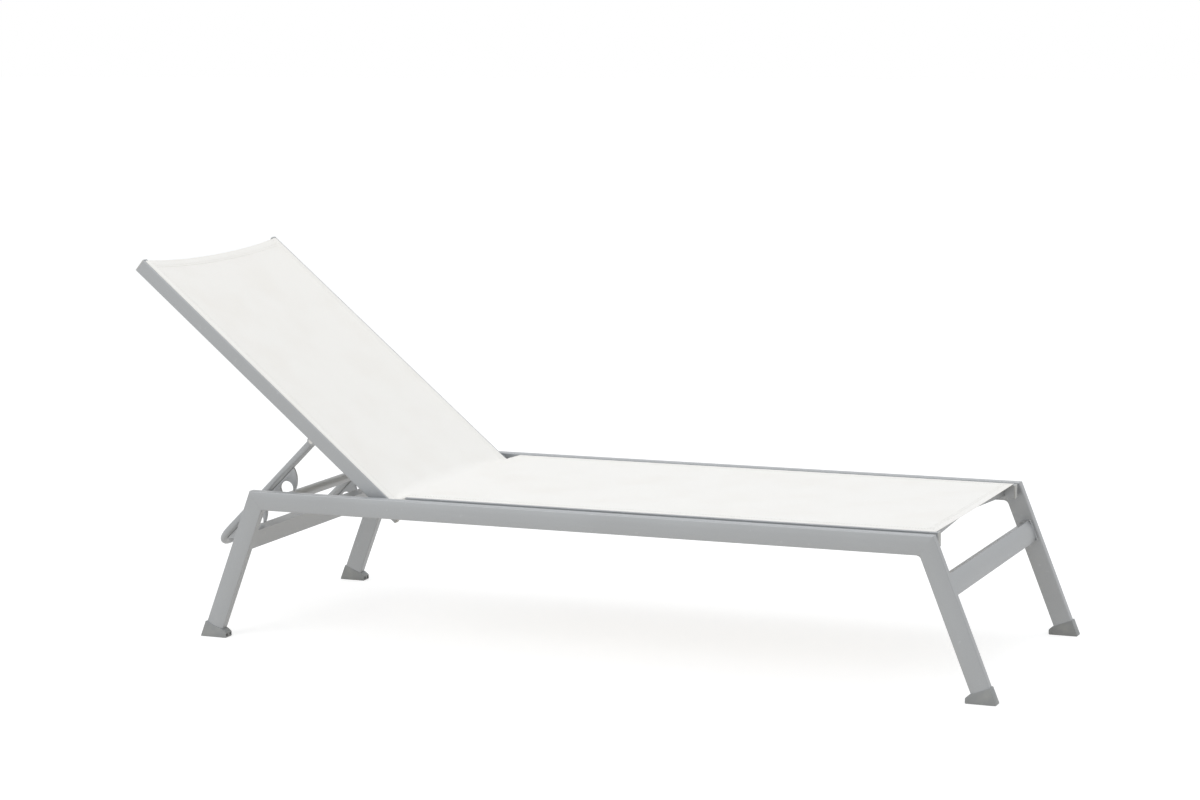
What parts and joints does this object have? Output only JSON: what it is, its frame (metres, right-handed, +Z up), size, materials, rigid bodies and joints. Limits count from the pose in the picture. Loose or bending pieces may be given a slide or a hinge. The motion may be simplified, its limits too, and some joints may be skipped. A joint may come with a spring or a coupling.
{
  "type": "adjustable sun lounger",
  "caption": "Stackable sling sun lounger on splayed legs, with a reclining back propped on a bar by a hooked bail.",
  "frame": {"origin": "on the ground, under the middle of the whole lounger's box with the back at its rest angle", "axes": "+X from the head end to the foot end, +Y to the sitter's left, +Z up"},
  "size_m": [1.8999, 0.652, 0.7968],
  "materials": {
    "frame": "silver powder coat on extruded aluminium, satin",
    "glide": "moulded grey polypropylene",
    "cap": "moulded light grey polypropylene",
    "bush": "natural nylon",
    "fastener": "stainless steel",
    "spacer": "moulded grey nylon",
    "spline": "extruded plastic rod",
    "sling": "woven vinyl-coated polyester mesh, off-white"
  },
  "bodies": {
    "root": {"side_rail_right": "frame", "side_rail_left": "frame", "head_leg_right": "frame", "head_leg_left": "frame", "foot_leg_right": "frame", "foot_leg_left": "frame", "corner_welds": "frame", "head_glide_right": "glide", "head_glide_left": "glide", "foot_glide_right": "glide", "foot_glide_left": "glide", "head_stretcher": "frame", "foot_stretcher": "frame", "catch_bar": "frame", "seat_rail_right": "frame", "seat_rail_left": "frame", "seat_rail_caps": "cap", "seat_rail_spacers": "spacer", "seat_rail_bolts": "fastener", "frame_nuts": "fastener", "foot_spreader": "frame", "seat_spreader_foot": "frame", "seat_spreader_head": "frame", "hinge_bolts": "fastener", "hinge_washers": "fastener", "hinge_spacers": "spacer", "seat_sling": "sling", "seat_splines": "spline"},
    "back": {"back_rail_right": "frame", "back_rail_left": "frame", "back_rail_caps": "cap", "hinge_bushes": "bush", "back_lower_brace": "frame", "back_upper_brace": "frame", "bail_bracket_right": "frame", "bail_bracket_left": "frame", "bail_pins": "fastener", "back_sling": "sling", "back_splines": "spline"},
    "bail": {"bail_tube": "frame", "bail_lugs": "frame", "hook_plate_right": "frame", "hook_plate_left": "frame"}
  },
  "joints": [
    {"name": "back_recline", "type": "hinge", "parent": "root", "child": "back", "pos_m": [-0.37068, 0, 0.3055], "axis": [0, 1, 0], "range_deg": [0, 27.6]},
    {"name": "bail_lift", "type": "hinge", "parent": "back", "child": "bail", "pos_m": [-0.55587, 0, 0.42092], "axis": [0, 1, 0], "range_deg": [0, 84]}
  ]
}
